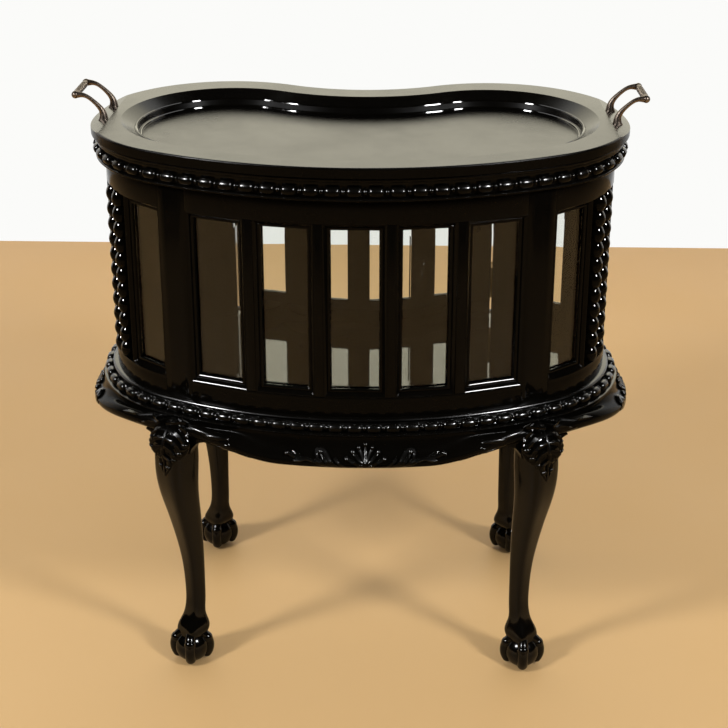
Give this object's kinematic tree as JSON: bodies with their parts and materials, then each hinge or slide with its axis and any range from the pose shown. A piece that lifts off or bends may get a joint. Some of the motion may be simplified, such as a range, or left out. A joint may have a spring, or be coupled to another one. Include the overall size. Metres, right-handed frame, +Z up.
{
  "type": "dumbwaiter table",
  "caption": "Kidney-shaped glazed serving cabinet on cabriole legs, with a lift-off tray top and a hinged back door, in black lacquered wood.",
  "frame": {"origin": "on the floor, under the middle of the table's bounding box", "axes": "+Z up; -Y toward the convex front, +Y toward the hollow back with the door; +X to the right seen from the front"},
  "size_m": [0.7756, 0.4595, 0.7982],
  "materials": {
    "black_lacquer": "gloss",
    "bare_wood": "matte",
    "clear_glass": "polished",
    "antique_silver": "satin",
    "aged_brass": "satin",
    "plain_steel": "satin",
    "catch_plastic": "matte"
  },
  "bodies": {
    "table": {"leg_front_left": "black_lacquer", "leg_front_right": "black_lacquer", "leg_back_left": "black_lacquer", "leg_back_right": "black_lacquer", "corner_blocks": "bare_wood", "apron_front": "black_lacquer", "apron_left": "black_lacquer", "apron_right": "black_lacquer", "apron_back": "black_lacquer", "apron_carvings": "black_lacquer", "knee_brackets": "black_lacquer", "knee_carvings": "black_lacquer", "base_board": "black_lacquer", "base_bead": "black_lacquer", "front_rail_bottom": "black_lacquer", "front_rail_top": "black_lacquer", "front_stiles": "black_lacquer", "front_post_left": "black_lacquer", "front_post_right": "black_lacquer", "end_rail_bottom_left": "black_lacquer", "end_rail_bottom_right": "black_lacquer", "end_rail_top_left": "black_lacquer", "end_rail_top_right": "black_lacquer", "end_stiles_left": "black_lacquer", "end_stiles_right": "black_lacquer", "pilasters_left": "black_lacquer", "pilasters_right": "black_lacquer", "back_post_left": "black_lacquer", "back_post_right": "black_lacquer", "top_board": "black_lacquer", "top_moulding": "black_lacquer", "front_sashes": "black_lacquer", "left_sashes": "black_lacquer", "right_sashes": "black_lacquer", "glazing_beads": "black_lacquer", "leg_bolts": "plain_steel", "front_panes": "clear_glass", "left_panes": "clear_glass", "right_panes": "clear_glass", "hinge_case_leaves": "aged_brass", "hinge_pins": "aged_brass", "hinge_case_screws": "aged_brass", "door_catch": "catch_plastic"},
    "door": {"door_rail_bottom": "black_lacquer", "door_rail_top": "black_lacquer", "door_latch_stile": "black_lacquer", "door_stiles": "black_lacquer", "door_hinge_stile": "black_lacquer", "door_sashes": "black_lacquer", "door_glazing_beads": "black_lacquer", "door_panes": "clear_glass", "door_knob": "aged_brass", "hinge_door_leaves": "aged_brass", "hinge_door_screws": "aged_brass", "door_strike": "plain_steel"},
    "tray": {"tray_rim": "black_lacquer", "tray_panel": "black_lacquer", "tray_handle_left": "antique_silver", "tray_handle_right": "antique_silver", "handle_screws": "plain_steel"}
  },
  "joints": [
    {"name": "door_hinge", "type": "hinge", "parent": "table", "child": "door", "pos_m": [0.192, 0.192, 0], "axis": [0, 0, -1], "range_deg": [0, 110]},
    {"name": "tray_lift", "type": "slide", "parent": "table", "child": "tray", "axis": [0, 0, 1], "range_m": [0, 0.25]}
  ]
}
